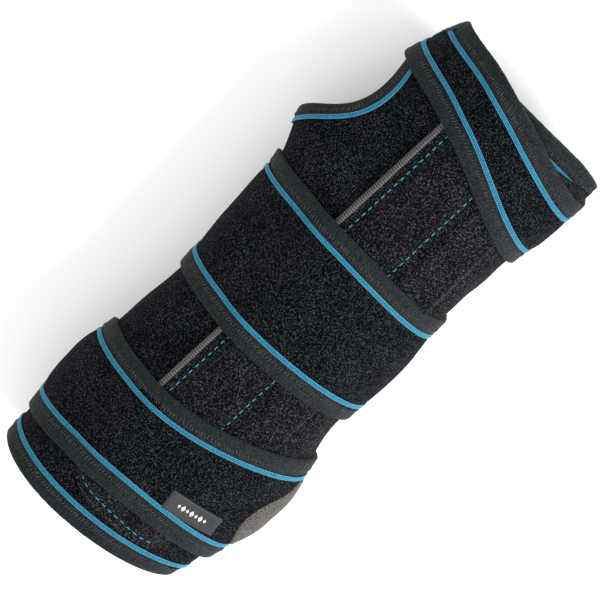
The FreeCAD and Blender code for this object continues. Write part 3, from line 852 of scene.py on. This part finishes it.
# ribbed tape along the pocket's radial edge
x = np.arange(tape_low.x + 16 * MM, POCKET_MOUTH, 0.3 * MM)
t = back_angle(x, tape_line(x) + 0.2 * MM)
path, normal = oval(x, t, lift=0.0)
rib = np.where(np.arange(len(x)) % 2 == 0, 1.0, 0.86)
shape = np.array([(-1.5, 0.1), (-1.55, 2.6), (-1.1, 3.35), (-0.2, 3.5), (0.6, 3.1), (1.25, 2.1),
                  (1.6, 0.9), (1.65, 0.1)]) * MM
centre = np.array((0.0, 1.4)) * MM
profile = centre + (shape - centre) * rib[:, None, None]
work = Patchwork()
ribbon(work, path, normal, profile)
place_piece(work.piece("pocket_edge_tape", GROSGRAIN), "sleeve", "grosgrain_tape", "pocket_tape")

# rows of stitches along the pocket's channels and round its forearm end
ON_PILE = 0.18 * MM  # height of a thread over the loop pile
FINE = 0.12 * MM  # radius of the fine grey thread
x = np.linspace(POCKET_END + 14 * MM, POCKET_MOUTH - 2 * MM, 400)
sew("pocket_seam_1", *back_path(x, SEAMS[0](x), ON_PILE))
sew("pocket_seam_2", *back_path(x, SEAMS[1](x), ON_PILE))
sew("pocket_seam_3", *back_path(x, SEAMS[2](x), ON_PILE), GREY_THREAD, dash=1.3 * MM,
    gap=0.7 * MM, radius=FINE)
y = np.linspace(pocket_edge_y(POCKET_END) - 2.5 * MM, SEAMS[2](POCKET_END) + 1.5 * MM, 200)


def end_path(inset):
    """A path this many millimetres inside the pocket's rounded end."""
    yy = y.mean() + (y - y.mean()) * (1 - inset * 0.02)
    return back_path(pocket_nose(yy) + inset * MM, yy, ON_PILE)


sew("pocket_end_seam_1", *end_path(1.2), GREY_THREAD, dash=1.2 * MM, gap=1.0 * MM, radius=FINE)
sew("pocket_end_seam_2", *end_path(4.2))

# landing panel under the tabs: loop pile on the ulnar and palm side
PAD_FROM, PAD_TO = SLIT + SLIT_HALF + 8 * DEG, below(0.86)
t = np.linspace(PAD_FROM, PAD_TO, 40)[None] + np.zeros((200, 1))
v = np.linspace(0, 1, 200)[:, None]
low = forearm_rim(t[0] - TURN)[None] + RIM_TAPE + 3 * MM
high = hand_rim(t[0] - TURN)[None] - RIM_TAPE - 3 * MM
x = low + (high - low) * v
across = (t - PAD_FROM) / (PAD_TO - PAD_FROM)
edge = np.minimum(np.minimum(v, 1 - v) * (high - low), np.minimum(across, 1 - across) * 22 * MM)
lift = growth(t, 0.7 * MM, 2.0 * MM) * (0.45 + 0.55 * smoothstep(0, 2.0 * MM, edge))
pad = slab(oval(x, t, lift)[0], oval(x, t, SEWN)[0]).piece("tab_landing", LOOP)
place_piece(pad, "sleeve", "loop_pile", "landing_panel")

# -------------------- straps
STRAP_THICK = 1.5 * MM
ROOT = -math.asin(0.21)  # where a strap is sewn down, below the thumb side's middle
FOLD = 180 * DEG
TAB_END = below(0.80)


def strap_lift(t):
    """Height of a strap's inner face: on the sleeve at the thumb side, over the pocket's
    face on the back, and on the landing panel below the ulnar fold."""
    over = smoothstep(52 * DEG, 80 * DEG, t)
    under = smoothstep(172 * DEG, 205 * DEG, t)
    thumb = growth(t, 0.3 * MM, 1.3 * MM)
    back = growth(t, 1.1 * MM, 6.4 * MM)
    palm = growth(t, 1.8 * MM, 5.6 * MM)
    return (thumb * (1 - over) + back * over) * (1 - under) + palm * under


def on_strap(x, t, raise_by):
    """Points and normals above a strap's inner face."""
    return oval(x, t, lift=strap_lift(t) + raise_by)


# how far the low and the high edge of each strap are drawn in at its root
ROOT_PULL = {"forearm": (2.0 * MM, -2.6 * MM), "wrist": (2.0 * MM, -2.6 * MM),
             "hand": (1.0 * MM, -8.4 * MM)}


def rounded_root(edge, t, pull):
    """A strap's edge, drawn in towards its sewn root."""
    return edge(t) + pull * (1 - smoothstep(ROOT + 1 * DEG, ROOT + 22 * DEG, t))


def ride_strap(piece, strap, slot, *replaced):
    """A piece of a strap, its transform baked into its mesh, standing for these CAD nodes."""
    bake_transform(piece)
    if replaced:
        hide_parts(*replaced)


STRAP_TAPE = 7.6 * MM
STRAP_PROUD = 0.35 * MM
strap_edges = {}
for strap in STRAPS:
    strap_edges[strap] = (
        band_edge([strap + "_strap_binding_low", strap + "_strap_tab"], False, ROOT,
                  TAB_END - 14 * DEG),
        band_edge([strap + "_strap_binding_high", strap + "_strap_tab"], True, ROOT,
                  TAB_END - 14 * DEG))
# how far each strap's middle stands off, at the radial side and at the ulnar fold
BULGE = {"forearm": (1.1, 2.3), "wrist": (0.4, 0.9), "hand": (0.0, 0.8)}


def bulge(strap, x, t):
    """How far the strap stands off there, on top of strap_lift."""
    low, high = strap_edges[strap]
    share = (x - low(t)) / (high(t) - low(t))
    arch = smoothstep(0.08, 0.42, share) * smoothstep(0.08, 0.42, 1 - share)
    radial, ulnar = BULGE[strap]
    return MM * arch * (radial * np.exp(-(t / 0.55) ** 2)
                        + ulnar * np.exp(-((t - math.pi) / 0.42) ** 2))


def make_strap(strap):
    """A strap's panel, with tape, overlock and cover stitching on both long edges."""
    low, high = (lambda t, edge=edge, pull=pull: rounded_root(edge, t, pull)
                 for edge, pull in zip(strap_edges[strap], ROOT_PULL[strap]))
    t = angles(ROOT, TAB_END, 1.2 * DEG)
    v = np.linspace(0, 1, 40)[:, None]
    inset = 1.0 * MM
    x = low(t) + inset + (high(t) - low(t) - 2 * inset) * v
    tt = t[None] + 0 * v
    inside = np.minimum(x - low(t), high(t) - x) - STRAP_TAPE
    belly = 0.40 * MM * smoothstep(-0.8 * MM, 6 * MM, inside) - 0.12 * MM
    stand = bulge(strap, x, tt)
    work = slab(on_strap(x, tt, STRAP_THICK + belly + stand)[0], on_strap(x, tt, stand)[0])
    panel = work.piece(strap + "_strap_fabric", FLEECE)
    ride_strap(panel, strap, "fleece_black", strap + "_strap_panel", strap + "_strap_tab")
    for edge, curve, sign in (("low", low, 1.0), ("high", high, -1.0)):
        path, normal = on_strap(curve(t), t, STRAP_THICK)
        work = Patchwork()
        tape = wavy(folded_tape(STRAP_TAPE, STRAP_THICK, STRAP_PROUD), len(t))
        ribbon(work, path, normal, tape, across_sign=sign)
        ride_strap(work.piece("%s_strap_tape_%s" % (strap, edge), BINDING), strap,
                   "binding_tape", "%s_strap_binding_%s" % (strap, edge))
        work = Patchwork()
        overlock(work, path + normal * 0.38 * MM, normal, STRAP_TAPE * 0.68, sign)
        ride_strap(work.piece("%s_strap_overlock_%s" % (strap, edge), GREY_THREAD), strap,
                   "binding_tape")
        path, normal = on_strap(curve(t) + sign * STRAP_TAPE, t, STRAP_THICK + 0.2 * MM)
        row = cover_stitch("%s_strap_stitches_%s" % (strap, edge), path, normal, sign)
        ride_strap(row, strap, "thread_turquoise", "%s_strap_stitching_%s" % (strap, edge))


for strap in STRAPS:
    make_strap(strap)

# root patches: where each strap is sewn to the sleeve, with a crossed box of stitches
for strap in STRAPS:
    low, high = strap_edges[strap]
    t = np.linspace(ROOT - 17 * DEG, ROOT - 0.6 * DEG, 16)
    v = np.linspace(0, 1, 40)[:, None]
    inset = 2.5 * MM
    a, b = low(t) + ROOT_PULL[strap][0] + inset, high(t) + ROOT_PULL[strap][1] - inset
    x = a + (b - a) * v
    tt = t[None] + 0 * v
    near = np.minimum(np.minimum(v, 1 - v) * (b - a), (tt - t[0]) * 30 * MM)
    lift = 0.25 * MM + 1.0 * MM * smoothstep(0, 1.5 * MM, near)
    work = slab(oval(x, tt, lift)[0], oval(x, tt, SEWN)[0])
    place_piece(work.piece(strap + "_root_patch", BINDING), "sleeve", "binding_tape")
    middle = (a.mean() + b.mean()) / 2
    half = (b.mean() - a.mean()) / 2 - 2.2 * MM
    up = np.linspace(t[2], t[-2], 30)
    run = np.linspace(-1, 1, 60)
    box = [(middle + half * run, np.full(60, up[0])), (middle + half * run, np.full(60, up[-1])),
           (np.full(30, middle - half), up), (np.full(30, middle + half), up),
           (middle + half * np.linspace(-1, 1, 30), up),
           (middle - half * np.linspace(-1, 1, 30), up)]
    for number, (bx, bt) in enumerate(box):
        sew("%s_root_stitch_%d" % (strap, number), *oval(bx, bt, lift=1.32 * MM),
            dash=1.6 * MM, gap=0.8 * MM, radius=0.16 * MM)

# hook patches on the inner face of each tab, in rows that curl opposite ways
HOOK_STEP = 1.35 * MM
HOOK_ARC = np.array([(0.0, 0.40), (0.02, 0.75), (0.20, 1.0), (0.42, 0.95), (0.5, 0.72)])
HOOK_MARGIN = STRAP_TAPE + 1.7 * MM
for strap in STRAPS:
    low, high = strap_edges[strap]
    t = np.linspace(below(0.46), below(0.72), 14)
    v = np.linspace(0, 1, 50)[:, None]
    x = low(t) + STRAP_TAPE + 1 * MM + (high(t) - low(t) - 2 * STRAP_TAPE - 2 * MM) * v
    tt = t[None] + 0 * v
    stand = bulge(strap, x, tt)
    work = slab(on_strap(x, tt, stand + 0.1 * MM)[0], on_strap(x, tt, stand - 0.45 * MM)[0])
    columns = np.arange(x.min() + 2 * MM, x.max() - 1 * MM, HOOK_STEP)
    for row, angle in enumerate(np.linspace(t[0] + 1.2 * DEG, t[-1] - 1.2 * DEG, 9)):
        for hx in columns + (row % 2) * 0.6 * MM:
            if not low(angle) + HOOK_MARGIN < hx < high(angle) - HOOK_MARGIN:
                continue
            at, turn = np.array([hx]), np.array([angle])
            foot, out = on_strap(at, turn, bulge(strap, at, turn))
            curl = (foot - out * HOOK_ARC[:, 1:] * MM
                    + np.array([[1.0, 0, 0]]) * HOOK_ARC[:, :1] * (1 if row % 2 else -1) * MM)
            side = np.repeat(np.array([[0.0, 0.6, 0.8]]), len(HOOK_ARC), axis=0)
            thread(work, curl, side, 0.11 * MM, sides=4)
    place_piece(work.piece(strap + "_tab_hooks", HOOK_TAPE_AND_WARM_LIGHT), strap + "_tab", "hook_tape",
                strap + "_strap_hook_patch")

# hook tape that shows along the ulnar fold of the forearm strap; its warm brown-grey is painted
# warm light that falls on this facet at a grazing angle
hook_low, hook_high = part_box("forearm_strap_hook_edge")
low, high = strap_edges["forearm"]
v = np.linspace(0, 1, 110)[:, None]
x = hook_low.x + (hook_high.x - hook_low.x) * v + np.zeros((1, 26))
reach = 25 * DEG * np.clip(np.sin(math.pi * v ** 0.8), 0, 1) ** 0.8 + 1.5 * DEG
t = FOLD + 3 * DEG - (reach + 3 * DEG) * np.linspace(0, 1, 26)[None]
near = np.minimum(np.minimum(v, 1 - v) * 44 * MM,
                  np.minimum(t - t[:, -1:], t[:, :1] - t) * 32 * MM)
stand = bulge("forearm", x, t) + STRAP_THICK
lift = stand + 0.15 * MM + 0.65 * MM * smoothstep(-0.1 * MM, 1.2 * MM, near)
work = slab(on_strap(x, t, lift)[0], on_strap(x, t, stand)[0], flip=True)
ride_strap(work.piece("forearm_strap_hook_tape_and_warm_light", HOOK_TAPE_AND_WARM_LIGHT), "forearm", "hook_tape",
           "forearm_strap_hook_edge")

# label on the forearm strap: satin, folded under at both ends, with a row of woven diamonds
corners = node_corners("strap_label")
centre = (corners.min(0) + corners.max(0)) / 2
long_way = np.linalg.svd(corners[:, :2] - corners[:, :2].mean(0), full_matrices=False)[2][0]
long_way = long_way * np.sign(long_way[1])
wide_way = np.array((long_way[1], -long_way[0]))
half_long = np.abs((corners[:, :2] - centre[:2]) @ long_way).max() + 1.0 * MM
half_wide = np.abs((corners[:, :2] - centre[:2]) @ wide_way).max()


def on_label(along, aside, raise_by):
    """Points on the face of the strap at a place on the label."""
    x = centre[0] + along * long_way[0] + aside * wide_way[0]
    y = centre[1] + along * long_way[1] + aside * wide_way[1]
    t = back_angle(x, y)
    for _ in range(5):
        point = on_strap(x, t, STRAP_THICK + 0.4 * MM + bulge("forearm", x, t))[0]
        a = np.interp(x, GRID_X, HALF_A)
        t = t + (point[..., 1] - y) / (a * np.sin(t))
    return on_strap(x, t, STRAP_THICK + 0.3 * MM + bulge("forearm", x, t) + raise_by)


along = np.linspace(-half_long, half_long, 60)[:, None] + np.zeros((1, 24))
aside = np.linspace(-half_wide, half_wide, 24)[None] + np.zeros((60, 1))
near = np.minimum(half_long - np.abs(along), half_wide - np.abs(aside))
raise_by = 0.12 * MM + 0.38 * MM * smoothstep(-0.1 * MM, 0.6 * MM, near)
fold = 0.18 * MM * smoothstep(half_long - 3.2 * MM, half_long - 2.6 * MM, np.abs(along))
work = slab(on_label(along, aside, raise_by + fold)[0],
            on_label(along, aside, -0.2 * MM)[0], flip=True)
ride_strap(work.piece("strap_label_satin", LABEL), "forearm", "label_satin", "strap_label")
work = Patchwork()
for step in range(-3, 4):
    size = (1.5, 0.9)[step % 2] * MM
    loop = np.linspace(0, TURN, 5)[:4]
    for inner in np.arange(0.15, 1.01, 0.2):
        along = step * 1.9 * MM + size * inner * np.cos(loop) * 0.55
        aside = size * inner * np.sin(loop)
        path, normal = on_label(np.append(along, along[:2]), np.append(aside, aside[:2]),
                                0.56 * MM)
        thread(work, path, normal, 0.13 * MM, sides=4)
ride_strap(work.piece("strap_label_weave", WHITE_THREAD), "forearm", "label_satin")

# -------------------- palm pocket
palm_low, palm_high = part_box("palm_pocket")
PALM_X, PALM_Y = (palm_low.x + palm_high.x) / 2, (palm_low.y + palm_high.y) / 2
PALM_L, PALM_W = (palm_high.x - palm_low.x) / 2, (palm_high.y - palm_low.y) / 2


def under_sleeve(x, y):
    """Height of the sleeve's underside at plan position (x, y)."""
    cy, cz, a, b = section(x)
    return cz - b * np.sqrt(np.clip(1 - ((y - cy) / a) ** 2, 0, 1))


u = np.linspace(-1, 1, 200)[:, None] + np.zeros((1, 60))
v = np.linspace(-1, 1, 60)[None] + np.zeros((200, 1))
corner = 0.5 * np.abs(u) ** 18
x, y = PALM_X + PALM_L * u, PALM_Y + PALM_W * v * (1 - 0.35 * corner)
side = PALM_W * (1 - np.abs(v))
end = np.where(u < 0, PALM_L * (1 - np.abs(u)), 1.0)
roof = under_sleeve(x, y) - SEWN
rise = 1 - smoothstep(0, 4.5 * MM, np.minimum(side, end))
crease = 0.35 * MM * np.exp(-((side - 5.5 * MM) / (0.9 * MM)) ** 2)
face = roof * rise ** 1.4 + crease * (1 - rise)
work = Patchwork()
bottom = work.grid(np.stack([x, y, face], -1), flip=True)
top = work.grid(np.stack([x, y, np.minimum(face + 1.05 * MM, roof + 0.3 * MM)], -1))
work.close(top, bottom, flip=True)
skin = work.piece("palm_pocket_skin", FLEECE)
place_piece(skin, "sleeve", "fleece_black", "palm_pocket")
run = np.linspace(-1, 1, 300)
down = np.repeat(np.array([[0.0, 0.0, -1.0]]), 300, axis=0)
for name, sx, sy in (
        ("radial", PALM_X + (PALM_L - 2.5 * MM) * run, np.full(300, PALM_Y + PALM_W - 5.5 * MM)),
        ("ulnar", PALM_X + (PALM_L - 2.5 * MM) * run, np.full(300, PALM_Y - PALM_W + 5.5 * MM)),
        ("end", np.full(300, PALM_X - PALM_L + 5.0 * MM), PALM_Y + (PALM_W - 5.5 * MM) * run)):
    path = np.stack([sx, sy, np.full(300, 0.16 * MM)], -1)
    sew("palm_pocket_stitch_" + name, path, down)
